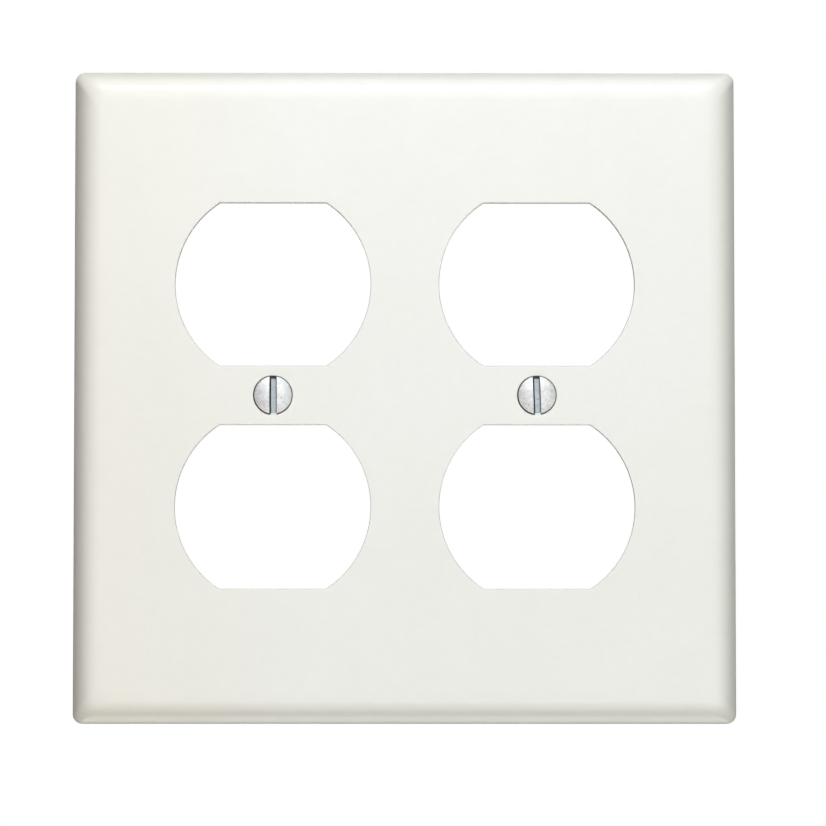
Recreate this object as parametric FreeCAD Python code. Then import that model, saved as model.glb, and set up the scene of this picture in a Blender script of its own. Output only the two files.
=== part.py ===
import FreeCAD, Part
import math
import os

# Two-gang cover plate for duplex receptacles, with its two oval-head screws.
# Frame: origin in the middle of the rim plane that meets the wall, +X to the
# right as seen from the front, +Z up, and the front face towards -Y. The
# screws' shanks point to +Y, into the wall box. Lengths are in millimetres.

V = FreeCAD.Vector

# Plate, overall
PLATE_W = 115.9            # two-gang width, 4 9/16 in
PLATE_H = 114.3            # standard height, 4 1/2 in
PLATE_D = 5.6              # wall plane to front face
CORNER_R = 1.7             # outer corners, seen from the front
SIDE_H = 1.9               # straight, drafted part of the side wall
SIDE_DRAFT = 0.12          # how far that wall leans in over its height
ROLL_W = 5.4               # width of the rolled edge, seen from the front
ROLL_CORNER_R = 2.6        # corner radius where the roll meets the flat face
ROLL_STEPS = 11            # sections along the roll

# Hollow back
FACE_T = 2.4               # thickness of the face
RIM_T = 2.5                # thickness of the rim where it meets the wall
CAVITY_DRAFT = 0.3         # lean of the cavity's walls over its depth
CAVITY_CORNER_R = 1.5
RIB_T = 1.2                # ribs on the back of the face
RIB_H = 1.4
BOSS_R = 4.6               # boss round each screw hole
BOSS_H = 0.8

# Device openings: circles with a flat at the top and at the bottom
GANG_PITCH = 46.04         # 1 13/16 in between the two gangs
OPENING_PITCH = 38.9       # 1.531 in between the two openings of one gang
OPENING_R = 17.05          # 1.343 in across
OPENING_FLATS = 28.6       # 1 1/8 in between the flats
OPENING_CORNER_R = 0.5     # where an arc meets a flat
OPENING_EDGE_R = 0.3        # softened front edge

# Screw holes, midway between the openings of each gang
HOLE_R = 2.0
SINK_R = 3.52              # mouth of the 82 degree countersink
SINK_HALF_ANGLE = 41.0

# Screws: number 6-32 by 1/2 in, oval head, one straight slot
HEAD_R = 3.42
HEAD_GAP = 0.08            # radial clearance between the head's cone and its seat
HEAD_LAND = 0.07           # short straight rim between the cone and the crown
CROWN_H = 0.75
SCREW_LEN = 12.7           # from the head's rim to the tip
NECK_R = 1.45
MAJOR_R = 1.7525
MINOR_R = 1.266
THREAD_PITCH = 0.79375     # 32 threads per inch
THREAD_FROM = -2.0         # where the neck begins to widen to the thread
TIP_CHAMFER = 0.5
SLOT_W = 1.2
SLOT_DEPTH = 1.35          # below the top of the crown
LEFT_SLOT_TURN = 0.0       # the slots' angles from upright, in degrees
RIGHT_SLOT_TURN = 2.0      # positive leans the top to the left, seen from the front

FACE_Y = -PLATE_D
FLOOR_Y = -(PLATE_D - FACE_T)
GANGS_X = (-GANG_PITCH / 2, GANG_PITCH / 2)
OPENINGS_Z = (-OPENING_PITCH / 2, OPENING_PITCH / 2)
TAN_SINK = math.tan(math.radians(SINK_HALF_ANGLE))


def rounded_outline(half_w, half_h, radius, y):
    """Closed wire of four lines and four arcs in the plane at y."""
    c = radius * (1 - math.sqrt(0.5))
    w, h, r = half_w, half_h, radius

    def p(x, z):
        return V(x, y, z)

    edges = [
        Part.LineSegment(p(-w + r, -h), p(w - r, -h)).toShape(),
        Part.Arc(p(w - r, -h), p(w - c, -h + c), p(w, -h + r)).toShape(),
        Part.LineSegment(p(w, -h + r), p(w, h - r)).toShape(),
        Part.Arc(p(w, h - r), p(w - c, h - c), p(w - r, h)).toShape(),
        Part.LineSegment(p(w - r, h), p(-w + r, h)).toShape(),
        Part.Arc(p(-w + r, h), p(-w + c, h - c), p(-w, h - r)).toShape(),
        Part.LineSegment(p(-w, h - r), p(-w, -h + r)).toShape(),
        Part.Arc(p(-w, -h + r), p(-w + c, -h + c), p(-w + r, -h)).toShape(),
    ]
    return Part.Wire(edges)


def box(x0, x1, y0, y1, z0, z1):
    return Part.makeBox(x1 - x0, y1 - y0, z1 - z0, V(x0, y0, z0))


def rod(r, y0, y1, x=0.0, z=0.0):
    return Part.makeCylinder(r, y1 - y0, V(x, y0, z), V(0, 1, 0))


def opening_prism(x, z, y0, y1):
    """Prism of one opening: a circle cut by two flats, its four corners eased."""
    prism = rod(OPENING_R, y0, y1, x, z).common(
        box(x - 30, x + 30, y0, y1, z - OPENING_FLATS / 2, z + OPENING_FLATS / 2)
    )
    corners = [
        e
        for e in prism.Edges
        if len(e.Vertexes) == 2
        and abs(e.Vertexes[0].Point.x - e.Vertexes[1].Point.x) < 1e-6
        and abs(e.Vertexes[0].Point.z - e.Vertexes[1].Point.z) < 1e-6
        and abs(abs(e.Vertexes[0].Point.z - z) - OPENING_FLATS / 2) < 1e-6
    ]
    return prism.makeFillet(OPENING_CORNER_R, corners)


def make_plate():
    hw, hh = PLATE_W / 2, PLATE_H / 2
    wall = Part.makeLoft(
        [
            rounded_outline(hw, hh, CORNER_R, 0),
            rounded_outline(hw - SIDE_DRAFT, hh - SIDE_DRAFT, CORNER_R, -SIDE_H),
        ],
        True,
        True,
    )
    # The roll is a cubic: steep at the side wall, and level where it meets the flat face.
    sections = []
    for i in range(ROLL_STEPS):
        t = i / (ROLL_STEPS - 1)
        inset = SIDE_DRAFT + ROLL_W * t
        depth = SIDE_H + (PLATE_D - SIDE_H) * (1 - (1 - t) ** 3)
        radius = CORNER_R + (ROLL_CORNER_R - CORNER_R) * t
        sections.append(rounded_outline(hw - inset, hh - inset, radius, -depth))
    roll = Part.makeLoft(sections, True, False)
    plate = wall.fuse(roll).removeSplitter()

    cavity = Part.makeLoft(
        [
            rounded_outline(hw - RIM_T, hh - RIM_T, CAVITY_CORNER_R, 0.0),
            rounded_outline(
                hw - RIM_T - CAVITY_DRAFT, hh - RIM_T - CAVITY_DRAFT, CAVITY_CORNER_R, FLOOR_Y
            ),
        ],
        True,
        True,
    )
    plate = plate.cut(cavity)

    # One upright rib between the gangs, one cross rib through the screw bosses
    rib_top = FLOOR_Y + RIB_H
    upright = box(-RIB_T / 2, RIB_T / 2, FLOOR_Y - 0.2, rib_top, -hh + RIM_T, hh - RIM_T)
    cross = box(-hw + RIM_T, hw - RIM_T, FLOOR_Y - 0.2, rib_top, -RIB_T / 2, RIB_T / 2)
    plate = plate.fuse([upright, cross])
    for x in GANGS_X:
        # The cross rib stops at each boss, so that the screw's hole stays clear.
        plate = plate.cut(rod(BOSS_R, FLOOR_Y, 0.5, x))
        plate = plate.fuse(rod(BOSS_R, FLOOR_Y - 0.2, FLOOR_Y + BOSS_H, x))
    plate = plate.removeSplitter()

    for x in GANGS_X:
        for z in OPENINGS_Z:
            plate = plate.cut(opening_prism(x, z, -PLATE_D - 1, 1))
        plate = plate.cut(rod(HOLE_R, -PLATE_D - 1, 1, x))
        ahead = 0.4
        depth = (SINK_R - HOLE_R) / TAN_SINK
        sink = Part.makeCone(
            SINK_R + ahead * TAN_SINK, HOLE_R, depth + ahead, V(x, FACE_Y - ahead, 0), V(0, 1, 0)
        )
        plate = plate.cut(sink)

    rims = []
    for e in plate.Edges:
        b = e.BoundBox
        if abs(b.YMin - FACE_Y) > 1e-4 or abs(b.YMax - FACE_Y) > 1e-4:
            continue
        if max(abs(b.XMin), abs(b.XMax)) > 45 or max(abs(b.ZMin), abs(b.ZMax)) > 40:
            continue
        if max(abs(b.ZMin), abs(b.ZMax)) < 4.5:
            continue
        rims.append(e)
    plate = plate.makeFillet(OPENING_EDGE_R, rims)
    return plate


def revolve(points, closing=None):
    """Solid of revolution about the Y axis from (radius, y) points. closing is an
    edge from the last point to the first, for a side that is not straight."""
    pts = [V(r, y, 0) for r, y in points]
    ends = pts[1:] + ([] if closing else pts[:1])
    edges = [Part.LineSegment(a, b).toShape() for a, b in zip(pts, ends)]
    if closing:
        edges.append(closing)
    return Part.Face(Part.Wire(Part.__sortEdges__(edges))).revolve(V(0, 0, 0), V(0, 1, 0), 360)


def make_screw(x, slot_turn):
    """One screw on the axis at x. The crown is a spherical cap."""
    rim_y = FACE_Y + (SINK_R - HEAD_GAP - HEAD_R) / TAN_SINK
    crown_y = rim_y - HEAD_LAND
    neck_y = rim_y + (HEAD_R - NECK_R) / TAN_SINK
    tip_y = rim_y + SCREW_LEN
    start_y = THREAD_FROM + (MAJOR_R - NECK_R)

    # head and neck as one revolved face
    crown_r = (HEAD_R ** 2 + CROWN_H ** 2) / (2 * CROWN_H)
    half = math.asin(HEAD_R / crown_r) / 2
    top_y = crown_y - CROWN_H
    mid = V(crown_r * math.sin(half), top_y + crown_r * (1 - math.cos(half)), 0)
    crown = Part.Arc(V(0, top_y, 0), mid, V(HEAD_R, crown_y, 0)).toShape()
    head = revolve(
        [(HEAD_R, crown_y), (HEAD_R, rim_y), (NECK_R, neck_y), (NECK_R, THREAD_FROM), (0, THREAD_FROM), (0, top_y)],
        crown,
    )
    slot = box(-SLOT_W / 2, SLOT_W / 2, top_y - 1, top_y + SLOT_DEPTH, -HEAD_R - 1, HEAD_R + 1)
    head = head.cut(slot)

    # 60 degree thread, cut as one helical groove in a plain rod
    depth = MAJOR_R - MINOR_R
    over = 0.05  # the groove's mouth stands this far outside the crests
    half_root = (7 * THREAD_PITCH / 8 - 2 * depth * math.tan(math.radians(30))) / 2
    half_out = half_root + (depth + over) * math.tan(math.radians(30))
    length = tip_y - THREAD_FROM + 2.5 * THREAD_PITCH
    helix = Part.makeLongHelix(THREAD_PITCH, length, MAJOR_R, 0)
    corners = [
        V(MINOR_R, 0, -half_root),
        V(MAJOR_R + over, 0, -half_out),
        V(MAJOR_R + over, 0, half_out),
        V(MINOR_R, 0, half_root),
    ]
    profile = Part.makePolygon(corners + corners[:1])
    groove = Part.Wire(helix.Edges).makePipeShell([profile], True, True)
    stock = Part.makeCylinder(MAJOR_R, tip_y - THREAD_FROM, V(0, 0, THREAD_PITCH))
    shank = stock.cut(groove)
    shank.rotate(V(0, 0, 0), V(1, 0, 0), -90)
    shank.translate(V(0, THREAD_FROM - THREAD_PITCH, 0))
    # its two ends are bevelled
    shank = shank.common(
        revolve(
            [
                (0, THREAD_FROM),
                (NECK_R, THREAD_FROM),
                (MAJOR_R, start_y),
                (MAJOR_R + 1, start_y),
                (MAJOR_R + 1, tip_y - TIP_CHAMFER),
                (MAJOR_R, tip_y - TIP_CHAMFER),
                (MAJOR_R - TIP_CHAMFER, tip_y),
                (0, tip_y),
            ]
        )
    )
    body = head.fuse(shank)
    # Seen from the front a positive turn is anticlockwise.
    body.rotate(V(0, 0, 0), V(0, 1, 0), -slot_turn)
    body.translate(V(x, 0, 0))
    return body


def save(name, shape):
    solids = shape.Solids
    shape = solids[0] if len(solids) == 1 else shape
    print(name, shape.ShapeType, "valid", shape.isValid(), "solids", len(solids),
          "faces", len(shape.Faces), "volume %.1f" % shape.Volume)
    b = shape.BoundBox
    print("   x %.3f..%.3f  y %.3f..%.3f  z %.3f..%.3f" % (b.XMin, b.XMax, b.YMin, b.YMax, b.ZMin, b.ZMax))
    shape.exportStep(os.path.join("parts", name + ".step"))
    return shape


os.makedirs("parts", exist_ok=True)
plate = save("cover_plate", make_plate())
left = save("left_screw", make_screw(GANGS_X[0], LEFT_SLOT_TURN))
right = save("right_screw", make_screw(GANGS_X[1], RIGHT_SLOT_TURN))
for name, screw in (("left", left), ("right", right)):
    print(name, "screw overlap with the plate %.4f mm3, gap %.3f mm"
          % (plate.common(screw).Volume, plate.distToShape(screw)[0]))
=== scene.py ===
"""Looks of the two-gang duplex cover plate and its two slotted screws.

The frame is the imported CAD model, in metres: +X right, +Z up, the plate's front towards -Y and
its rim on the plane y = 0. Lengths below are in millimetres unless a name ends in _m.
The plate and the screws are rebuilt as finer meshes on the same dimensions as the CAD nodes.
"""

import math

import bpy
import bmesh
from mathutils import Matrix, Vector
from mathutils.geometry import delaunay_2d_cdt


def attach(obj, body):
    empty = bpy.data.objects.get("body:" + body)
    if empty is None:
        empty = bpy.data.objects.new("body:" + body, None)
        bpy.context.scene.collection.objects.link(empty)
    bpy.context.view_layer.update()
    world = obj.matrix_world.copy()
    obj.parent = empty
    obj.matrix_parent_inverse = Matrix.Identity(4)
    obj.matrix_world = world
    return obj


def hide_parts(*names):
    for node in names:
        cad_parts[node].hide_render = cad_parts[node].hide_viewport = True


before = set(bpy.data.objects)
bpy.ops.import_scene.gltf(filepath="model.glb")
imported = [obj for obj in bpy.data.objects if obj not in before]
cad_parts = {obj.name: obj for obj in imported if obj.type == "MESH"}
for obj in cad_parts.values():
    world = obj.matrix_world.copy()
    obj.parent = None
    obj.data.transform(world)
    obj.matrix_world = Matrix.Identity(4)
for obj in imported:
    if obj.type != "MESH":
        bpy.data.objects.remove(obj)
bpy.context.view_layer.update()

MM = 0.001
sin, cos, rad = math.sin, math.cos, math.radians

# ---------------------------------------------------------------- dimensions
PLATE_W, PLATE_H, PLATE_D = 115.9, 114.3, 5.6
CORNER_R, ROLL_CORNER_R = 1.7, 2.6
SIDE_H, SIDE_DRAFT, ROLL_W = 1.9, 0.12, 5.4
FACE_T, RIM_T, CAVITY_DRAFT, CAVITY_CORNER_R = 2.4, 2.5, 0.3, 1.5
RIB_T, RIB_H, BOSS_R, BOSS_H = 1.2, 1.4, 4.6, 0.8
GANG_PITCH, OPENING_PITCH = 46.04, 38.9
OPENING_R, OPENING_FLATS, OPENING_CORNER_R, OPENING_EDGE_R = 17.05, 28.6, 0.5, 0.16
OPENING_DRAFT = 0.07  # how much wider each opening is at the back than at the front, per side
HOLE_R, SINK_R, SINK_ANGLE = 2.0, 3.52, 41.0
HEAD_R, HEAD_GAP, HEAD_LAND, CROWN_H = 3.42, 0.08, 0.07, 0.75
RIM_R = 3.27  # where the crown ends and the head's blunt rim begins
SCREW_LEN, NECK_R, MAJOR_R, MINOR_R = 12.7, 1.45, 1.7525, 1.266
THREAD_PITCH, THREAD_FROM, TIP_CHAMFER = 0.79375, -2.0, 0.5
SLOT_W, SLOT_DEPTH = 1.3, 1.35
LEFT_SLOT_TURN, RIGHT_SLOT_TURN = 0.0, 2.0
LEFT_SLOT_SHIFT = 0.05  # the left slot was cut a little off centre
SLOT_LEAN_LEFT, SLOT_LEAN_RIGHT = 0.25, 0.12  # how far the slot's walls lean in by its floor

FACE_Y = -PLATE_D
FLOOR_Y = -(PLATE_D - FACE_T)
RIB_Y = FLOOR_Y + RIB_H
BOSS_Y = FLOOR_Y + BOSS_H
HW, HH = PLATE_W / 2, PLATE_H / 2
GANGS_X = (-GANG_PITCH / 2, GANG_PITCH / 2)
OPENINGS_Z = (-OPENING_PITCH / 2, OPENING_PITCH / 2)
TAN_SINK = math.tan(rad(SINK_ANGLE))
EDGE = 0.12  # small rounding of the moulding's back edges
MARK_R, MARK_D = 2.4, 0.07  # ejector pin marks on the back of the face
MARKS = [(x, z) for x in (-50.0, -23.02, 0.0, 23.02, 50.0) for z in (-49.5, 49.5) if x] + [
    (x, z) for x in (-49.0, 49.0) for z in (-11.0, 11.0)
]
FLOOR_HW, FLOOR_HH = HW - RIM_T - CAVITY_DRAFT, HH - RIM_T - CAVITY_DRAFT


# ---------------------------------------------------------------- loops, as lists of (x, z)
def outline(w, h, r, side=30, corner=12):
    """Rounded rectangle, anticlockwise seen with +X right and +Z up."""
    pts = []
    cs = [(w - r, -h + r, -90), (w - r, h - r, 0), (-w + r, h - r, 90), (-w + r, -h + r, 180)]
    for k, (cx, cz, a0) in enumerate(cs):
        px, pz, pa = cs[k - 1]
        x0, z0 = px + r * cos(rad(pa + 90)), pz + r * sin(rad(pa + 90))
        x1, z1 = cx + r * cos(rad(a0)), cz + r * sin(rad(a0))
        for i in range(side):
            t = i / side
            pts.append((x0 + (x1 - x0) * t, z0 + (z1 - z0) * t))
        for i in range(corner):
            a = rad(a0 + 90 * i / corner)
            pts.append((cx + r * cos(a), cz + r * sin(a)))
    return pts


def opening_loop(cx, cz, o=0.0, arc=44, corner=5, flat=10):
    """A circle with two flats and eased corners, grown outwards by o."""
    r, f, rc = OPENING_R + o, OPENING_FLATS / 2 + o, OPENING_CORNER_R + o
    kz = OPENING_FLATS / 2 - OPENING_CORNER_R
    kx = math.sqrt((OPENING_R - OPENING_CORNER_R) ** 2 - kz**2)
    b = math.degrees(math.atan2(kz, kx))
    pts = []

    def sweep(x, z, radius, a0, a1, n):
        for i in range(n):
            a = rad(a0 + (a1 - a0) * i / n)
            pts.append((cx + x + radius * cos(a), cz + z + radius * sin(a)))

    def run(x0, x1, z, n):
        for i in range(n):
            pts.append((cx + x0 + (x1 - x0) * i / n, cz + z))

    sweep(0, 0, r, -b, b, arc)
    sweep(kx, kz, rc, b, 90, corner)
    run(kx, -kx, f, flat)
    sweep(-kx, kz, rc, 90, 180 - b, corner)
    sweep(0, 0, r, 180 - b, 180 + b, arc)
    sweep(-kx, -kz, rc, 180 + b, 270, corner)
    run(-kx, kx, -f, flat)
    sweep(kx, -kz, rc, 270, 360 - b, corner)
    return pts


def circle(cx, cz, r, n=64):
    return [(cx + r * cos(2 * math.pi * i / n), cz + r * sin(2 * math.pi * i / n)) for i in range(n)]


def in_opening(x, z, o):
    for cx in GANGS_X:
        for cz in OPENINGS_Z:
            if math.hypot(x - cx, z - cz) < OPENING_R + o and abs(z - cz) < OPENING_FLATS / 2 + o:
                return True
    return False


def in_circle(x, z, centres, r):
    return any(math.hypot(x - a, z - b) < r for a, b in centres)


HOLES = [(x, 0.0) for x in GANGS_X]


# ---------------------------------------------------------------- a mesh welded by position
class Welded:
    def __init__(self):
        self.bm = bmesh.new()
        self.at = {}
        self.soft = self.bm.edges.layers.float.new("bevel_weight_edge")

    def v(self, x, y, z):
        key = (round(x, 4), round(y, 4), round(z, 4))
        if key not in self.at:
            self.at[key] = self.bm.verts.new((x * MM, y * MM, z * MM))
        return self.at[key]

    def face(self, points):
        vs = []
        for p in points:
            v = self.v(*p)
            if not vs or v is not vs[-1]:
                vs.append(v)
        if len(vs) > 2 and vs[0] is vs[-1]:
            vs.pop()
        if len(set(vs)) < 3:
            return None
        try:
            return self.bm.faces.new(vs)
        except ValueError:
            return None

    def band(self, a, ya, b, yb):
        """Quads between two loops of the same length, at depths ya and yb."""
        n = len(a)
        for i in range(n):
            j = (i + 1) % n
            self.face([(a[i][0], ya, a[i][1]), (a[j][0], ya, a[j][1]), (b[j][0], yb, b[j][1]), (b[i][0], yb, b[i][1])])

    def edge_weight(self, p, q, w):
        a, b = self.v(*p), self.v(*q)
        e = self.bm.edges.get((a, b))
        if e is not None:
            e[self.soft] = w


def triangulate(loops, spots):
    """Constrained Delaunay triangulation of closed loops and loose points. Returns points and triangles."""
    coords, edges = [], []
    for loop in loops:
        n0 = len(coords)
        coords += loop
        edges += [(n0 + i, n0 + (i + 1) % len(loop)) for i in range(len(loop))]
    coords = coords + spots
    out, oe, of_, ov, _, _ = delaunay_2d_cdt([Vector(c) for c in coords], edges, [], 0, 1e-5, True)
    pts = [coords[ids[0]] if ids else (p.x, p.y) for p, ids in zip(out, ov)]
    return pts, [tuple(f) for f in of_]


def grid_spots(step, keep):
    """Points of a staggered grid for which keep(x, z) holds."""
    spots, row = [], 0
    z = -HH + step
    while z < HH:
        x = -HW + step * (0.75 if row % 2 else 1.25)
        while x < HW:
            if keep(x, z):
                spots.append((x, z))
            x += step
        z += step * 0.88
        row += 1
    return spots


# ---------------------------------------------------------------- the plate
def build_plate():
    w = Welded()

    # Outer skin: eased rim edge, drafted side wall, roll, flat face
    rings = []
    for i in range(4):
        a = rad(90) * i / 3
        rings.append((EDGE * (1 - sin(a)), EDGE * (1 - cos(a)), CORNER_R))
    for d in (0.5, 1.0, 1.5):
        rings.append((SIDE_DRAFT * d / SIDE_H, d, CORNER_R))
    steps = 36
    for i in range(steps + 1):
        t = i / steps  # the roll's slope fades evenly from the side wall to nothing at the flat face
        d = SIDE_H + (PLATE_D - SIDE_H) * (1 - (1 - t) ** 3)
        rings.append((SIDE_DRAFT + ROLL_W * t, d, CORNER_R + (ROLL_CORNER_R - CORNER_R) * t))
    loops = [(outline(HW - e, HH - e, r), -d) for e, d, r in rings]
    for (a, ya), (b, yb) in zip(loops, loops[1:]):
        w.band(a, ya, b, yb)
    flat = loops[-1][0]
    rim = loops[0][0]

    # Flat front face, between the roll and the eased mouths of the openings and countersinks
    mouth_r = 0.08
    mouths = [opening_loop(x, z, OPENING_EDGE_R) for x in GANGS_X for z in OPENINGS_Z]
    sinks = [circle(x, 0.0, SINK_R + mouth_r) for x in GANGS_X]
    fw, fh = HW - SIDE_DRAFT - ROLL_W, HH - SIDE_DRAFT - ROLL_W

    def on_front(x, z):
        return (
            abs(x) < fw - 1.4
            and abs(z) < fh - 1.4
            and not in_opening(x, z, 1.4)
            and not in_circle(x, z, HOLES, SINK_R + 0.9)
        )

    pts, tris = triangulate([flat] + mouths + sinks, grid_spots(2.6, on_front))
    for t in tris:
        cx = sum(pts[i][0] for i in t) / 3
        cz = sum(pts[i][1] for i in t) / 3
        if in_opening(cx, cz, OPENING_EDGE_R - 0.003) or in_circle(cx, cz, HOLES, SINK_R + mouth_r - 0.003):
            continue
        w.face([(pts[i][0], FACE_Y, pts[i][1]) for i in t])

    # Openings: eased front edge, straight wall, eased back edge
    for x in GANGS_X:
        for z in OPENINGS_Z:
            ring = []
            for i in range(7):
                a = rad(90) * i / 6
                ring.append((OPENING_EDGE_R * (1 - sin(a)), FACE_Y + OPENING_EDGE_R * (1 - cos(a))))
            ring.append((OPENING_DRAFT / 2, (FACE_Y + FLOOR_Y) / 2))
            for i in range(4):
                a = rad(90) * i / 3
                ring.append((OPENING_DRAFT + EDGE * (1 - cos(a)), FLOOR_Y - EDGE * (1 - sin(a))))
            made = [(opening_loop(x, z, o), y) for o, y in ring]
            for (a, ya), (b, yb) in zip(made, made[1:]):
                w.band(a, ya, b, yb)

    # Screw holes: eased mouth, 82 degree countersink, hole, eased end on the boss
    for x in GANGS_X:
        prof = []
        turn = 90 - SINK_ANGLE  # the fillet turns from the face into the cone
        back = mouth_r * math.tan(rad(turn / 2))  # from the sharp edge to where the fillet meets each side
        # the fillet's tangent points lie on the face at r = SINK_R + mouth_r, so its radius is set from there
        fr = mouth_r / math.tan(rad(turn / 2))
        for i in range(5):
            a = rad(turn) * i / 4
            prof.append((SINK_R + mouth_r - fr * sin(a), FACE_Y + fr * (1 - cos(a))))
        end_y = FACE_Y + (SINK_R - HOLE_R) / TAN_SINK
        for t in (0.35, 0.7, 1.0):
            y = prof[4][1] + (end_y - prof[4][1]) * t
            prof.append((HOLE_R + (end_y - y) * TAN_SINK, y))
        prof.append((HOLE_R, (end_y + BOSS_Y) / 2))
        for i in range(4):
            a = rad(90) * i / 3
            prof.append((HOLE_R + EDGE * (1 - cos(a)), BOSS_Y - EDGE * (1 - sin(a))))
        made = [(circle(x, 0.0, r), y) for r, y in prof]
        for (a, ya), (b, yb) in zip(made, made[1:]):
            w.band(a, ya, b, yb)

    # Back: plane regions at their own depths, joined by upright walls
    cavity = outline(FLOOR_HW, FLOOR_HH, CAVITY_CORNER_R)
    backs = [opening_loop(x, z, OPENING_DRAFT + EDGE) for x in GANGS_X for z in OPENINGS_Z]
    hole_ends = [circle(x, 0.0, HOLE_R + EDGE) for x in GANGS_X]
    bosses = [circle(x, 0.0, BOSS_R) for x in GANGS_X]
    marks = [circle(x, z, MARK_R, 40) for x, z in MARKS]
    half = RIB_T / 2

    def strip(x0, x1, z0, z1, n):
        if abs(x1 - x0) > abs(z1 - z0):
            lower = [(x0 + (x1 - x0) * i / n, z0) for i in range(n)]
            upper = [(x1 + (x0 - x1) * i / n, z1) for i in range(n)]
            return lower + [(x1, z0)] + upper + [(x0, z1)]
        right = [(x1, z0 + (z1 - z0) * i / n) for i in range(n)]
        left = [(x0, z1 + (z0 - z1) * i / n) for i in range(n)]
        return [(x0, z0)] + right + [(x1, z1)] + left

    # the upright rib runs from wall to wall; the cross rib stops inside the bosses, clear of the holes
    ribs = [strip(-half, half, -FLOOR_HH, FLOOR_HH, 44)]
    stops = [-FLOOR_HW, GANGS_X[0] - 3.6, GANGS_X[0] + 3.6, GANGS_X[1] - 3.6, GANGS_X[1] + 3.6, FLOOR_HW]
    for k in (0, 2, 4):
        ribs.append(strip(stops[k], stops[k + 1], -half, half, 14))

    def on_back(x, z):
        if abs(x) > FLOOR_HW - 1.2 or abs(z) > FLOOR_HH - 1.2:
            return False
        if abs(x) < half + 1.0 or abs(z) < half + 1.0:
            return False
        return not (
            in_opening(x, z, 1.2) or in_circle(x, z, HOLES, BOSS_R + 1.0) or in_circle(x, z, MARKS, MARK_R + 0.9)
        )

    mid = outline(HW - 1.35, HH - 1.35, 1.6)  # a ring of points along the middle of the rim
    pts, tris = triangulate([rim, cavity] + backs + hole_ends + bosses + marks + ribs, grid_spots(3.2, on_back) + mid)

    def region(x, z):
        if abs(x) > FLOOR_HW or abs(z) > FLOOR_HH:
            return 0.0
        kx, kz = FLOOR_HW - CAVITY_CORNER_R, FLOOR_HH - CAVITY_CORNER_R
        if abs(x) > kx and abs(z) > kz and math.hypot(abs(x) - kx, abs(z) - kz) > CAVITY_CORNER_R - 0.002:
            return 0.0
        if in_opening(x, z, OPENING_DRAFT + EDGE - 0.003) or in_circle(x, z, HOLES, HOLE_R + EDGE - 0.003):
            return None
        if in_circle(x, z, HOLES, BOSS_R - 0.003):
            return BOSS_Y
        if abs(x) < half or abs(z) < half:
            return RIB_Y
        if in_circle(x, z, MARKS, MARK_R - 0.004):
            return FLOOR_Y - MARK_D
        return FLOOR_Y

    ridge = []
    on_wall = {(round(x, 4), round(z, 4)) for x, z in cavity}

    def place(i, y):
        """The cavity's walls lean outwards towards the rim."""
        x, z = pts[i]
        at_wall = (
            (round(x, 4), round(z, 4)) in on_wall
            or abs(abs(x) - FLOOR_HW) < 1e-3
            or abs(abs(z) - FLOOR_HH) < 1e-3
        )
        if at_wall and y > FLOOR_Y:
            lean = CAVITY_DRAFT * (y - FLOOR_Y) / -FLOOR_Y
            if abs(x) >= FLOOR_HW - CAVITY_CORNER_R - 1e-3:
                x += math.copysign(lean, x)
            if abs(z) >= FLOOR_HH - CAVITY_CORNER_R - 1e-3:
                z += math.copysign(lean, z)
        return (x, y, z)

    sides, heights = {}, {}
    for t in tris:
        cx = sum(pts[i][0] for i in t) / 3
        cz = sum(pts[i][1] for i in t) / 3
        h = region(cx, cz)
        for a, b in ((t[0], t[1]), (t[1], t[2]), (t[2], t[0])):
            sides.setdefault((min(a, b), max(a, b)), []).append(h)
        if h is None:
            continue
        for i in t:
            heights.setdefault(i, set()).add(h)
        w.face([place(i, h) for i in t])
    for (a, b), hs in sides.items():
        hs = [h for h in hs if h is not None]
        if len(hs) < 2 or abs(hs[0] - hs[1]) < 1e-6:
            continue
        lo, hi = min(hs), max(hs)
        up = sorted(h for h in heights[b] if lo + 1e-6 < h < hi - 1e-6)
        down = sorted((h for h in heights[a] if lo + 1e-6 < h < hi - 1e-6), reverse=True)
        w.face(
            [place(a, lo), place(b, lo)]
            + [place(b, h) for h in up]
            + [place(b, hi), place(a, hi)]
            + [place(a, h) for h in down]
        )
        ridge.append((place(a, lo), place(b, lo), hi - lo))
        ridge.append((place(a, hi), place(b, hi), hi - lo))
    for p, q, drop in ridge:
        w.edge_weight(p, q, 1.0 if drop > 0.5 else 0.0)

    bm = w.bm
    bmesh.ops.recalc_face_normals(bm, faces=bm.faces[:])
    loose = [e for e in bm.edges if len(e.link_faces) != 2]
    print("plate mesh:", len(bm.verts), "verts", len(bm.faces), "faces", "open or shared edges:", len(loose),
          "volume mm3 %.1f" % (bm.calc_volume() * 1e9))
    for f in bm.faces:
        f.smooth = True
    mesh = bpy.data.meshes.new("moulded_plate")
    bm.to_mesh(mesh)
    bm.free()
    mesh.set_sharp_from_angle(angle=rad(50))
    ob = bpy.data.objects.new("moulded_plate", mesh)
    bpy.context.scene.collection.objects.link(ob)
    bevel = ob.modifiers.new("eased", "BEVEL")
    bevel.limit_method = "WEIGHT"
    bevel.offset_type = "OFFSET"
    bevel.width = 0.16 * MM
    bevel.segments = 3
    bevel.use_clamp_overlap = False
    bevel.miter_outer = "MITER_SHARP"
    normals = ob.modifiers.new("normals", "WEIGHTED_NORMAL")
    normals.mode = "FACE_AREA"
    normals.keep_sharp = True
    return ob


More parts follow.
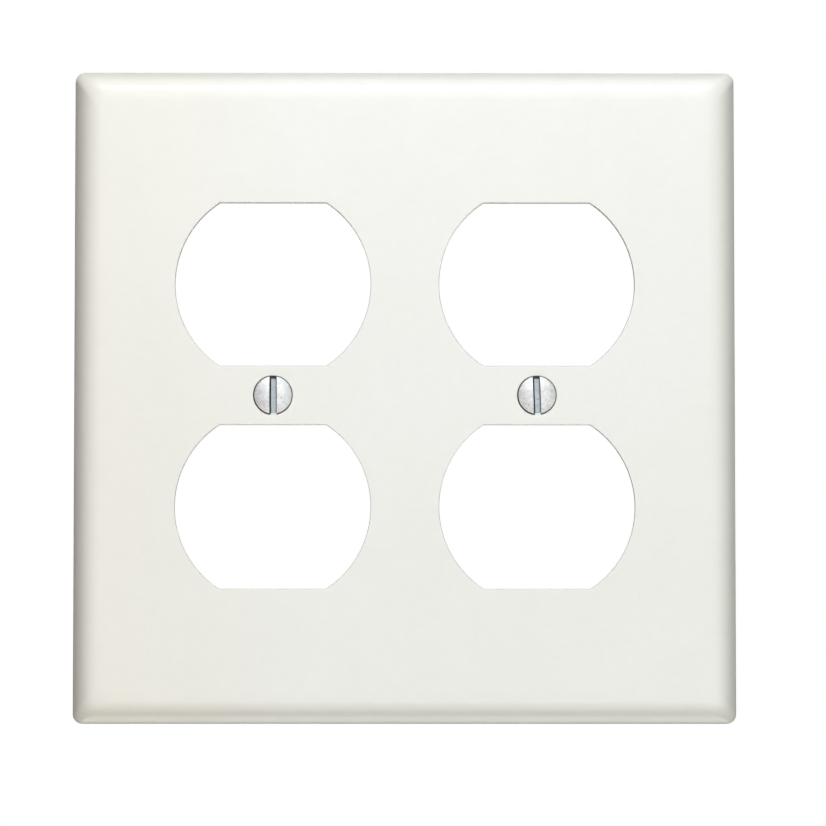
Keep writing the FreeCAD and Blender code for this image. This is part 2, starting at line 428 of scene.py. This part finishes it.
# ---------------------------------------------------------------- the screws
def build_screw(name, x, slot_turn, seed, slot_shift=0.0):
    rim_y = FACE_Y + (SINK_R - HEAD_GAP - HEAD_R) / TAN_SINK
    crown_y = rim_y - HEAD_LAND
    neck_y = rim_y + (HEAD_R - NECK_R) / TAN_SINK
    tip_y = rim_y + SCREW_LEN
    start_y = THREAD_FROM + (MAJOR_R - NECK_R)
    top_y = crown_y - CROWN_H
    crown_r = (HEAD_R**2 + CROWN_H**2) / (2 * CROWN_H)
    crown_end = math.asin(RIM_R / crown_r)
    end_y = top_y + crown_r * (1 - cos(crown_end))
    depth = MAJOR_R - MINOR_R
    half_root = (7 * THREAD_PITCH / 8 - 2 * depth * math.tan(rad(30))) / 2
    n = 96

    def groove(phase):
        """Thread's radius at a distance from the middle of the groove."""
        d = abs((phase + THREAD_PITCH / 2) % THREAD_PITCH - THREAD_PITCH / 2)
        if d <= half_root:
            return MINOR_R
        return min(MAJOR_R, MINOR_R + (d - half_root) / math.tan(rad(30)))

    def radius(y, a, env):
        if y < THREAD_FROM - 1e-6:
            return env
        r = groove(y - THREAD_FROM - THREAD_PITCH * (a / (2 * math.pi)))
        fade = min(1.0, max(0.0, (y - THREAD_FROM) / (0.8 * THREAD_PITCH)))
        return min(env, NECK_R + (r - NECK_R) * fade if fade < 1 and r < NECK_R else r)

    rows = []  # (y, envelope radius), from the tip to the crown
    rows.append((tip_y, 0.45))
    rows.append((tip_y, 0.9))
    rows.append((tip_y, MAJOR_R - TIP_CHAMFER - 0.04))
    rows.append((tip_y - 0.015, MAJOR_R - TIP_CHAMFER - 0.01))
    step = THREAD_PITCH / 22
    y = tip_y - 0.05
    while y > THREAD_FROM + 1e-4:
        env = min(MAJOR_R, MAJOR_R - TIP_CHAMFER + (tip_y - y), NECK_R + (y - THREAD_FROM))
        rows.append((y, env))
        y -= step
    rows.append((THREAD_FROM, NECK_R))
    for t in (0.3, 0.6, 0.85):
        rows.append((THREAD_FROM + (neck_y - THREAD_FROM) * t, NECK_R))
    # a small fillet between the neck and the cone
    fr = 0.35
    bend = rad(SINK_ANGLE)
    cut = fr * math.tan(bend / 2)
    for i in range(6):
        a = bend * i / 5
        rows.append((neck_y + cut - fr * sin(a), NECK_R + fr * (1 - cos(a))))
    y0, r0 = rows[-1]
    for t in (0.25, 0.5, 0.75, 0.97):
        rows.append((y0 + (rim_y - y0) * t, r0 + (HEAD_R - r0) * t))
    rows.append((rim_y + 0.012, HEAD_R - 0.006))
    rows.append((rim_y - 0.02, HEAD_R))
    rows.append((crown_y + 0.03, HEAD_R - 0.004))
    rows.append((crown_y + 0.012, HEAD_R - 0.02))
    rows.append(((crown_y + end_y) / 2 + 0.004, (HEAD_R + RIM_R) / 2))
    rows.append((end_y + 0.012, RIM_R + 0.014))
    rows.append((end_y, RIM_R))
    for i in range(1, 23):
        a = crown_end * (1 - i / 23)
        rows.append((top_y + crown_r * (1 - cos(a)), crown_r * sin(a)))

    bm = bmesh.new()
    tip = bm.verts.new((0, tip_y * MM, 0))
    apex = bm.verts.new((0, top_y * MM, 0))
    grid = []
    for y, env in rows:
        ring = []
        for i in range(n):
            a = 2 * math.pi * i / n
            r = radius(y, a, env)
            # a right-hand thread: the groove advances towards the tip as it turns clockwise seen from the head
            ring.append(bm.verts.new((r * cos(a) * MM, y * MM, -r * sin(a) * MM)))
        grid.append(ring)
    for i in range(n):
        j = (i + 1) % n
        bm.faces.new((tip, grid[0][i], grid[0][j]))
        bm.faces.new((apex, grid[-1][j], grid[-1][i]))
        for a, b in zip(grid, grid[1:]):
            bm.faces.new((a[i], b[i], b[j], a[j]))
    bmesh.ops.recalc_face_normals(bm, faces=bm.faces[:])
    body = bpy.data.meshes.new(name + "_stock")
    bm.to_mesh(body)
    bm.free()

    # the slot's cutter, slightly uneven along its two long edges as a rolled slot is
    bm = bmesh.new()
    cuts = 34
    z0, z1 = -HEAD_R - 0.6, HEAD_R + 0.6
    floor_y = top_y + SLOT_DEPTH
    section = []
    for i in range(cuts + 1):
        z = z0 + (z1 - z0) * i / cuts
        wob = [0.012 * sin(1.9 * z + seed) + 0.009 * sin(4.7 * z + 2.1 * seed) for seed in (seed, seed + 1.7)]
        left, right = slot_shift - SLOT_W / 2 - 0.01 + wob[0], slot_shift + SLOT_W / 2 + 0.01 + wob[1]
        section.append(
            [
                bm.verts.new((px * MM, py * MM, z * MM))
                for px, py in (
                    (left - SLOT_LEAN_LEFT / SLOT_DEPTH, top_y - 1),
                    (right + SLOT_LEAN_RIGHT / SLOT_DEPTH, top_y - 1),
                    (right - SLOT_LEAN_RIGHT, floor_y - 0.07),
                    (right - SLOT_LEAN_RIGHT - 0.03, floor_y - 0.02),
                    (right - SLOT_LEAN_RIGHT - 0.08, floor_y),
                    (left + SLOT_LEAN_LEFT + 0.08, floor_y),
                    (left + SLOT_LEAN_LEFT + 0.03, floor_y - 0.02),
                    (left + SLOT_LEAN_LEFT, floor_y - 0.07),
                )
            ]
        )
    for a, b in zip(section, section[1:]):
        for i in range(8):
            j = (i + 1) % 8
            bm.faces.new((a[i], a[j], b[j], b[i]))
    bm.faces.new(section[0][::-1])
    bm.faces.new(section[-1])
    bmesh.ops.recalc_face_normals(bm, faces=bm.faces[:])
    cutter_mesh = bpy.data.meshes.new(name + "_cutter")
    bm.to_mesh(cutter_mesh)
    bm.free()

    stock = bpy.data.objects.new(name + "_stock", body)
    cutter = bpy.data.objects.new(name + "_cutter", cutter_mesh)
    for o in (stock, cutter):
        bpy.context.scene.collection.objects.link(o)
    cut = stock.modifiers.new("slot", "BOOLEAN")
    cut.operation, cut.solver, cut.object = "DIFFERENCE", "EXACT", cutter
    dg = bpy.context.evaluated_depsgraph_get()
    made = bpy.data.meshes.new_from_object(stock.evaluated_get(dg), depsgraph=dg)
    for o in (stock, cutter):
        bpy.data.objects.remove(o)
    bpy.data.meshes.remove(body)
    bpy.data.meshes.remove(cutter_mesh)

    bm = bmesh.new()
    bm.from_mesh(made)
    bmesh.ops.remove_doubles(bm, verts=bm.verts[:], dist=1e-6)
    bmesh.ops.dissolve_degenerate(bm, edges=bm.edges[:], dist=1e-6)
    weight = bm.edges.layers.float.get("bevel_weight_edge") or bm.edges.layers.float.new("bevel_weight_edge")
    for e in bm.edges:
        ys = [v.co.y / MM for v in e.verts]
        if len(e.link_faces) == 2 and max(ys) < floor_y - 0.2 and e.calc_face_angle(0) > rad(35):
            e[weight] = 1.0 if max(ys) < crown_y + 0.001 else 0.5
    for f in bm.faces:
        f.smooth = True
    bad = [e for e in bm.edges if len(e.link_faces) != 2]
    print(name, "mesh:", len(bm.verts), "verts", len(bm.faces), "faces, open or shared edges:", len(bad))
    bm.to_mesh(made)
    bm.free()
    # Seen from the front a positive turn is anticlockwise.
    made.transform(Matrix.Translation((x * MM, 0, 0)) @ Matrix.Rotation(rad(-slot_turn), 4, "Y"))
    made.name = name
    made.set_sharp_from_angle(angle=rad(38))
    ob = bpy.data.objects.new(name, made)
    bpy.context.scene.collection.objects.link(ob)
    bevel = ob.modifiers.new("eased", "BEVEL")
    bevel.limit_method = "WEIGHT"
    bevel.offset_type = "OFFSET"
    bevel.width = 0.05 * MM
    bevel.segments = 2
    bevel.use_clamp_overlap = True
    normals = ob.modifiers.new("normals", "WEIGHTED_NORMAL")
    normals.mode = "FACE_AREA"
    normals.keep_sharp = True
    return ob


# ---------------------------------------------------------------- materials
class Nodes:
    """Short forms for building one material's node tree."""

    def __init__(self, name):
        self.mat = bpy.data.materials.new(name)
        self.mat.use_nodes = True
        self.nt = self.mat.node_tree
        self.nt.nodes.clear()
        self.out = self.nt.nodes.new("ShaderNodeOutputMaterial")
        self.bsdf = self.nt.nodes.new("ShaderNodeBsdfPrincipled")
        self.link(self.bsdf, "BSDF", self.out, "Surface")
        self.coord = self.nt.nodes.new("ShaderNodeTexCoord")

    def link(self, a, out, b, socket):
        self.nt.links.new(a.outputs[out], b.inputs[socket])

    def noise(self, scale, detail=2.0, rough=0.5, stretch=None, offset=(0, 0, 0), distortion=0.0):
        n = self.nt.nodes.new("ShaderNodeTexNoise")
        n.inputs["Scale"].default_value = scale
        n.inputs["Detail"].default_value = detail
        n.inputs["Roughness"].default_value = rough
        n.inputs["Distortion"].default_value = distortion
        m = self.nt.nodes.new("ShaderNodeMapping")
        m.inputs["Location"].default_value = offset
        if stretch:
            m.inputs["Scale"].default_value = stretch
        self.link(self.coord, "Object", m, "Vector")
        self.link(m, "Vector", n, "Vector")
        return n

    def remap(self, source, out, lo, hi, to_lo, to_hi):
        n = self.nt.nodes.new("ShaderNodeMapRange")
        n.inputs["From Min"].default_value = lo
        n.inputs["From Max"].default_value = hi
        n.inputs["To Min"].default_value = to_lo
        n.inputs["To Max"].default_value = to_hi
        n.interpolation_type = "SMOOTHSTEP"
        self.nt.links.new(source.outputs[out], n.inputs["Value"])
        return n

    def mix(self, factor, fout, a, b, blend="MIX"):
        n = self.nt.nodes.new("ShaderNodeMix")
        n.data_type = "RGBA"
        n.blend_type = blend
        if isinstance(factor, (int, float)):
            n.inputs["Factor"].default_value = factor
        else:
            self.nt.links.new(factor.outputs[fout], n.inputs["Factor"])
        for sock, val in (("A", a), ("B", b)):
            target = next(s for s in n.inputs if s.name == sock and s.type == "RGBA")
            if isinstance(val, tuple) and not isinstance(val[0], (int, float)):
                self.nt.links.new(val[0].outputs[val[1]], target)
            else:
                target.default_value = (*val, 1.0)
        return n

    def rgba(self, node):
        return next(s for s in node.outputs if s.type == "RGBA")

    def maths(self, op, a, b):
        n = self.nt.nodes.new("ShaderNodeMath")
        n.operation = op
        for k, v in enumerate((a, b)):
            if isinstance(v, (int, float)):
                n.inputs[k].default_value = v
            else:
                self.nt.links.new(v, n.inputs[k])
        return n.outputs[0]

    def bump(self, height, strength, distance, below=None):
        n = self.nt.nodes.new("ShaderNodeBump")
        n.inputs["Strength"].default_value = strength
        n.inputs["Distance"].default_value = distance
        self.nt.links.new(height, n.inputs["Height"])
        if below is not None:
            self.nt.links.new(below.outputs["Normal"], n.inputs["Normal"])
        return n


def plate_material():
    """Off-white plastic, a little yellower towards the left edge as painted warm shade, with painted shade in the tops
    of the countersinks.
    """
    m = Nodes("moulded_plastic")
    place = m.nt.nodes.new("ShaderNodeSeparateXYZ")
    m.link(m.coord, "Object", place, "Vector")
    px, py, pz = place.outputs["X"], place.outputs["Y"], place.outputs["Z"]

    def ramp(value, lo, hi):
        n = m.nt.nodes.new("ShaderNodeMapRange")
        n.interpolation_type = "SMOOTHSTEP"
        n.inputs["From Min"].default_value = lo * MM
        n.inputs["From Max"].default_value = hi * MM
        m.nt.links.new(value, n.inputs["Value"])
        return n.outputs["Result"]

    def times(p, q, amount):
        node = m.nt.nodes.new("ShaderNodeMix")
        node.data_type, node.blend_type = "RGBA", "MULTIPLY"
        node.inputs["Factor"].default_value = amount
        ins = [i for i in node.inputs if i.type == "RGBA"]
        m.nt.links.new(m.rgba(p), ins[0])
        m.nt.links.new(m.rgba(q), ins[1])
        return node

    def blend(mask, low, high):
        node = m.nt.nodes.new("ShaderNodeMix")
        node.data_type = "RGBA"
        m.nt.links.new(mask, node.inputs["Factor"])
        ins = [i for i in node.inputs if i.type == "RGBA"]
        for colour, socket in ((low, ins[0]), (high, ins[1])):
            if isinstance(colour, tuple):
                socket.default_value = (*colour, 1)
            else:
                m.nt.links.new(m.rgba(colour), socket)
        return node

    # painted warm shade: the colour turns a little yellower towards the left edge, standing in for the warmer, dimmer
    # light on that side
    left_warm_painted_shade = blend(ramp(px, -62.0, -12.0), (0.996, 0.972, 0.930), (1.0, 1.0, 1.0))
    # painted shade: a near-black colour in the upper half of each countersink, below the face, stands in for the
    # shadow there
    dx = m.maths("SUBTRACT", m.maths("ABSOLUTE", px, 0.0), GANGS_X[1] * MM)
    reach = m.maths("SQRT", m.maths("ADD", m.maths("MULTIPLY", dx, dx), m.maths("MULTIPLY", pz, pz)), 0.0)
    near = m.maths("SUBTRACT", 1.0, ramp(reach, SINK_R, SINK_R + 0.1))
    deep = ramp(py, FACE_Y + 0.03, FACE_Y + 0.15)
    sink_painted_shade = m.maths("MULTIPLY", m.maths("MULTIPLY", near, deep), ramp(pz, 0.0, 0.6))

    # a faint grey line of painted shade just inside the openings' front edges, along their sides and bottoms
    level = m.maths("SUBTRACT", pz, m.maths("MULTIPLY", m.maths("SIGN", pz, 0.0), OPENINGS_Z[1] * MM))
    low = m.maths("SUBTRACT", 1.0, ramp(level, 0.0, 9.0))
    inside = m.maths("LESS_THAN", m.maths("ABSOLUTE", px, 0.0), (GANGS_X[1] + OPENING_R + 2) * MM)
    inside = m.maths("MULTIPLY", inside, m.maths("LESS_THAN", m.maths("ABSOLUTE", pz, 0.0), (HH - 12) * MM))
    band = m.maths("MULTIPLY", ramp(py, FACE_Y + 0.02, FACE_Y + 0.05), m.maths("SUBTRACT", 1.0, ramp(py, FACE_Y + 0.25, FACE_Y + 0.5)))
    line = m.maths("MULTIPLY", m.maths("MULTIPLY", low, inside), band)
    line = m.maths("MULTIPLY", line, m.maths("SUBTRACT", 1.0, near))

    # lays the painted shade line inside the openings, then the countersinks' painted shade, over the plastic's colour
    def over_painted_shade(base):
        return blend(sink_painted_shade, blend(line, base, (0.30, 0.30, 0.31)), (0.06, 0.06, 0.06))

    broad = m.noise(38, 3, 0.55)
    fine = m.noise(520, 3, 0.6)
    a = m.mix(m.remap(broad, "Fac", 0.35, 0.65, 0, 1), "Result", (0.806, 0.806, 0.757), (0.813, 0.815, 0.769))
    b = m.mix(m.remap(fine, "Fac", 0.3, 0.7, 0, 1), "Result", (0.985, 0.985, 0.985), (1.0, 1.0, 1.0))
    both = m.nt.nodes.new("ShaderNodeMix")
    both.data_type, both.blend_type = "RGBA", "MULTIPLY"
    both.inputs["Factor"].default_value = 1.0
    ins = [s for s in both.inputs if s.type == "RGBA"]
    m.nt.links.new(m.rgba(a), ins[0])
    m.nt.links.new(m.rgba(b), ins[1])
    warm = times(both, left_warm_painted_shade, 1.0)
    painted_shade_plastic = over_painted_shade(warm)
    m.nt.links.new(m.rgba(painted_shade_plastic), m.bsdf.inputs["Base Color"])
    rough = m.remap(m.noise(160, 3, 0.6, offset=(0.3, 0.1, 0.7)), "Fac", 0.3, 0.7, 0.30, 0.36)
    m.nt.links.new(rough.outputs["Result"], m.bsdf.inputs["Roughness"])
    peel = m.noise(900, 2, 0.5, offset=(0.11, 0.5, 0.2))
    swell = m.noise(60, 1, 0.4, offset=(0.7, 0.2, 0.1))
    low = m.bump(swell.outputs["Fac"], 0.25, 0.00006)
    top = m.bump(peel.outputs["Fac"], 0.22, 0.000012, low)
    m.nt.links.new(top.outputs["Normal"], m.bsdf.inputs["Normal"])
    m.bsdf.inputs["IOR"].default_value = 1.5
    return m.mat


def screw_material(name, x, slot_turn, slot_shift=0.0):
    """Zinc plate: bright and finely mottled on the crown; in the slot a duller, bluish plating tone that is also
    painted shade, and painted shade on the slot's walls and on the blunt rim.
    """
    m = Nodes(name)
    nt = m.nt
    centred = nt.nodes.new("ShaderNodeVectorMath")
    centred.operation = "SUBTRACT"
    centred.inputs[1].default_value = (x * MM, 0, 0)
    m.link(m.coord, "Object", centred, 0)
    own = nt.nodes.new("ShaderNodeVectorRotate")
    own.rotation_type = "Y_AXIS"
    own.inputs["Angle"].default_value = rad(slot_turn)
    m.link(centred, "Vector", own, "Vector")
    part = nt.nodes.new("ShaderNodeSeparateXYZ")
    m.link(own, "Vector", part, "Vector")
    px, py, pz = part.outputs["X"], part.outputs["Y"], part.outputs["Z"]

    def step(value, lo, hi):
        """0 below lo and 1 above hi, in millimetres."""
        n = nt.nodes.new("ShaderNodeMapRange")
        n.interpolation_type = "SMOOTHSTEP"
        n.inputs["From Min"].default_value = lo * MM
        n.inputs["From Max"].default_value = hi * MM
        nt.links.new(value, n.inputs["Value"])
        return n.outputs["Result"]

    def inverse(value):
        return m.maths("SUBTRACT", 1.0, value)

    across = m.maths("SUBTRACT", px, slot_shift * MM)
    away = m.maths("ABSOLUTE", across, 0.0)
    radius = m.maths("SQRT", m.maths("ADD", m.maths("MULTIPLY", px, px), m.maths("MULTIPLY", pz, pz)), 0.0)
    above_floor = inverse(step(py, -4.93, -4.88))
    # in the slot the colour is partly the plating's duller bluish tone and partly painted shade for the recess
    in_slot = m.maths("MULTIPLY", inverse(step(away, 0.645, 0.657)), above_floor)
    # painted shade on the slot's walls: the right wall is mid grey and the left wall near black
    on_wall = m.maths("MULTIPLY", in_slot, step(across, 0.46, 0.52))
    left_wall = m.maths("MULTIPLY", in_slot, inverse(step(across, -0.39, -0.33)))
    # painted shade on the head's blunt rim, standing in for the shadowed crevice; the line is a little wider at the
    # lower left
    lean = m.maths("MULTIPLY", m.maths("ADD", px, pz), 0.012)
    on_rim = m.maths("MULTIPLY", step(m.maths("SUBTRACT", radius, lean), RIM_R - 0.02, RIM_R + 0.02), above_floor)
    on_rim = m.maths("MULTIPLY", on_rim, inverse(in_slot))

    mottle = m.noise(2100, 4, 0.65, offset=(0.2, 0.4, 0.1))
    cloud = m.noise(520, 3, 0.6, offset=(0.9, 0.1, 0.3))
    specks = m.noise(2900, 1, 0.35, offset=(0.5, 0.8, 0.6))
    a = m.mix(m.remap(cloud, "Fac", 0.35, 0.65, 0, 1), "Result", CROWN_LOW, CROWN_HIGH)
    b = m.mix(m.remap(mottle, "Fac", 0.32, 0.60, 0, 1), "Result", (0.86, 0.868, 0.875), (1.0, 1.0, 1.0))
    c = m.mix(m.remap(specks, "Fac", 0.22, 0.30, 0, 1), "Result", (0.50, 0.52, 0.53), (1.0, 1.0, 1.0))

    def multiply(p, q):
        node = nt.nodes.new("ShaderNodeMix")
        node.data_type, node.blend_type = "RGBA", "MULTIPLY"
        node.inputs["Factor"].default_value = 1.0
        ins = [i for i in node.inputs if i.type == "RGBA"]
        nt.links.new(m.rgba(p), ins[0])
        nt.links.new(m.rgba(q), ins[1])
        return node

    def over(base, mask, colour):
        node = nt.nodes.new("ShaderNodeMix")
        node.data_type = "RGBA"
        nt.links.new(mask, node.inputs["Factor"])
        ins = [i for i in node.inputs if i.type == "RGBA"]
        nt.links.new(m.rgba(base), ins[0])
        ins[1].default_value = (*colour, 1)
        return node

    # the slot's plating tone, plus the painted shade of the slot, its walls and the rim, laid over the plating's
    # colour
    one = m.mix(0.0, None, (1, 1, 1), (1, 1, 1))
    dull_plating_and_painted_shade = over(one, in_slot, SLOT_PLATING_AND_PAINTED_SHADE)
    dull_plating_and_painted_shade = over(dull_plating_and_painted_shade, on_wall, WALL_PAINTED_SHADE)
    dull_plating_and_painted_shade = over(dull_plating_and_painted_shade, left_wall, LEFT_WALL_PAINTED_SHADE)
    dull_plating_and_painted_shade = over(dull_plating_and_painted_shade, on_rim, RIM_PAINTED_SHADE)
    colour = multiply(multiply(multiply(a, b), c), dull_plating_and_painted_shade)
    nt.links.new(m.rgba(colour), m.bsdf.inputs["Base Color"])
    m.bsdf.inputs["Metallic"].default_value = 1.0
    rough = m.remap(m.noise(700, 3, 0.6), "Fac", 0.3, 0.7, 0.64, 0.74)
    nt.links.new(rough.outputs["Result"], m.bsdf.inputs["Roughness"])
    pits = m.bump(m.remap(specks, "Fac", 0.20, 0.34, 0, 1).outputs["Result"], 0.4, 0.00002)
    grain = m.bump(mottle.outputs["Fac"], 0.3, 0.00002, pits)
    nt.links.new(grain.outputs["Normal"], m.bsdf.inputs["Normal"])
    return m.mat


CROWN_LOW, CROWN_HIGH = (0.815, 0.825, 0.82), (0.89, 0.892, 0.887)
# slot: duller bluish plating with painted shade; walls and rim: painted shade, the left wall darker than the right
SLOT_PLATING_AND_PAINTED_SHADE, WALL_PAINTED_SHADE, LEFT_WALL_PAINTED_SHADE, RIM_PAINTED_SHADE = (0.66, 0.725, 0.75), (0.42, 0.45, 0.47), (0.085, 0.095, 0.095), (0.09, 0.09, 0.09)


# ---------------------------------------------------------------- camera
def aim_camera():
    """Placed by a fit of the plate's outline, openings and screws to the reference view."""
    az, el, dist = rad(-0.4117), rad(-3.9406), 0.85832
    yaw, pitch, roll, focal_px = rad(0.0976), rad(-0.1816), rad(0.0077), 4890.8
    back = Vector((sin(az) * cos(el), -cos(az) * cos(el), sin(el)))
    fwd = -back
    right = fwd.cross(Vector((0, 0, 1))).normalized()
    up = right.cross(fwd)
    fwd = fwd * cos(yaw) + right * sin(yaw)
    right = fwd.cross(up).normalized()
    fwd, up0 = fwd * cos(pitch) + up * sin(pitch), up
    up = right.cross(fwd)
    right = right * cos(roll) + up * sin(roll)
    up = right.cross(fwd)
    data = bpy.data.cameras.new("camera")
    data.sensor_width = 36.0
    data.lens = focal_px / 826 * 36.0
    data.clip_start, data.clip_end = 0.01, 100.0
    cam = bpy.data.objects.new("camera", data)
    m = Matrix((right, up, -fwd)).transposed().to_4x4()
    m.translation = back * dist
    cam.matrix_world = m
    bpy.context.scene.collection.objects.link(cam)
    bpy.context.scene.camera = cam


# ---------------------------------------------------------------- studio
def softbox(name, off, clock, dist, radial, across, radiance):
    off, clock = rad(off), rad(clock)
    z = Vector((sin(off) * sin(clock), -cos(off), sin(off) * cos(clock)))
    outwards = Vector((cos(off) * sin(clock), sin(off), cos(off) * cos(clock)))
    x = outwards.cross(z).normalized()
    strength = max(radiance)
    data = bpy.data.lights.new(name, "AREA")
    data.shape = "RECTANGLE"
    data.size, data.size_y = across, radial
    data.energy = strength * radial * across * math.pi
    data.color = [c / strength for c in radiance]
    ob = bpy.data.objects.new(name, data)
    m = Matrix((x, z.cross(x), z)).transposed().to_4x4()
    m.translation = z * dist
    ob.matrix_world = m
    ob.visible_camera = False
    ob.visible_glossy = off < rad(120)  # the two behind only fill, so they leave no glint along the plate's edges
    bpy.context.scene.collection.objects.link(ob)


REAR_LIGHT, REAR_COLOUR = 0.10, (1.0, 1.0, 1.0)
LAMPS = (
    # name, degrees off the plate's axis, clock position in degrees (0 is up, 90 is right), distance,
    # size along and across that direction in metres, radiance
    ("above_12", 12, 0, 1, 0.100, 0.350, (5.81, 6.29, 6.49)),
    ("above_18", 18, 0, 1, 0.110, 0.450, (8.30, 8.44, 8.94)),
    ("above_25", 25, 0, 1, 0.130, 0.500, (3.20, 3.20, 3.20)),
    ("above_33", 33, 0, 1, 0.150, 0.500, (2.50, 2.50, 2.50)),
    ("above_43", 43, 0, 1, 0.180, 0.550, (4.81, 4.77, 4.89)),
    ("above_55", 55, 0, 1, 0.200, 0.600, (10.18, 10.24, 10.37)),
    ("above_70", 70, 0, 1, 0.260, 0.600, (1.43, 1.59, 1.74)),
    ("above_90", 90, 0, 1, 0.300, 0.600, (2.59, 2.48, 2.25)),
    ("below_19", 19, 180, 1, 0.100, 0.400, (4.71, 4.54, 4.63)),
    ("below_27", 27, 180, 1, 0.140, 0.450, (2.49, 2.35, 2.32)),
    ("below_40", 40, 180, 1, 0.200, 0.500, (1.86, 1.70, 1.65)),
    ("below_60", 60, 180, 1, 0.300, 0.600, (3.01, 2.89, 2.80)),
    ("below_85", 85, 180, 1, 0.300, 0.600, (0.28, 0.16, 0.00)),
    ("below_113", 113, 180, 1, 0.360, 0.600, (2.86, 2.98, 2.71)),
    ("right_34", 34, 90, 1, 0.280, 0.500, (0.59, 0.77, 0.69)),
    ("right_80", 80, 90, 1, 0.400, 0.600, (0.44, 0.36, 0.00)),
    ("lower_right", 36, 135, 1, 0.300, 0.350, (4.51, 4.75, 4.77)),
    ("lower_left", 36, 225, 1, 0.300, 0.350, (2.18, 1.80, 1.76)),
    ("behind_high", 172, 0, 1, 0.300, 0.300, (19.00, 19.00, 19.00)),
    ("behind_low", 174, 180, 1, 0.300, 0.300, (9.00, 9.00, 9.00)),
)


def studio():
    scene = bpy.context.scene
    scene.view_settings.view_transform = "Standard"
    scene.view_settings.look = "None"
    scene.view_settings.exposure = 0.0
    scene.view_settings.gamma = 1.0

    # a plain white surround for the camera; it also lights, but only from behind the plate's plane
    world = bpy.data.worlds.new("studio")
    scene.world = world
    world.use_nodes = True
    nt = world.node_tree
    nt.nodes.clear()
    out = nt.nodes.new("ShaderNodeOutputWorld")
    seen = nt.nodes.new("ShaderNodeBackground")
    seen.inputs["Color"].default_value = (1, 1, 1, 1)
    seen.inputs["Strength"].default_value = 1.0
    fill = nt.nodes.new("ShaderNodeBackground")
    fill.inputs["Color"].default_value = (*REAR_COLOUR, 1)
    towards = nt.nodes.new("ShaderNodeTexCoord")
    split = nt.nodes.new("ShaderNodeSeparateXYZ")
    nt.links.new(towards.outputs["Generated"], split.inputs[0])
    rear = nt.nodes.new("ShaderNodeMapRange")
    rear.inputs["From Min"].default_value = 0.0
    rear.inputs["From Max"].default_value = 0.12
    rear.inputs["To Max"].default_value = REAR_LIGHT
    nt.links.new(split.outputs["Y"], rear.inputs["Value"])
    nt.links.new(rear.outputs["Result"], fill.inputs["Strength"])
    path = nt.nodes.new("ShaderNodeLightPath")
    mix = nt.nodes.new("ShaderNodeMixShader")
    nt.links.new(path.outputs["Is Camera Ray"], mix.inputs["Fac"])
    nt.links.new(fill.outputs[0], mix.inputs[1])
    nt.links.new(seen.outputs[0], mix.inputs[2])
    nt.links.new(mix.outputs[0], out.inputs["Surface"])

    for row in LAMPS:
        softbox(*row)


aim_camera()
studio()

plastic = plate_material()
left_zinc = screw_material("left_zinc_plated_steel", GANGS_X[0], LEFT_SLOT_TURN, LEFT_SLOT_SHIFT)
right_zinc = screw_material("right_zinc_plated_steel", GANGS_X[1], RIGHT_SLOT_TURN)
plate = build_plate()
plate.data.materials.append(plastic)
left = build_screw("left_slotted_screw", GANGS_X[0], LEFT_SLOT_TURN, 0.4, LEFT_SLOT_SHIFT)
right = build_screw("right_slotted_screw", GANGS_X[1], RIGHT_SLOT_TURN, 2.9)
for ob, node, body, slot, mat in (
    (plate, "cover_plate", "plate", "plate_plastic", plastic),
    (left, "left_screw", "left_screw", "screw_steel", left_zinc),
    (right, "right_screw", "right_screw", "screw_steel", right_zinc),
):
    if not ob.data.materials:
        ob.data.materials.append(mat)
    ob.data.materials[0] = mat
    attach(ob, body)
    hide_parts(node)
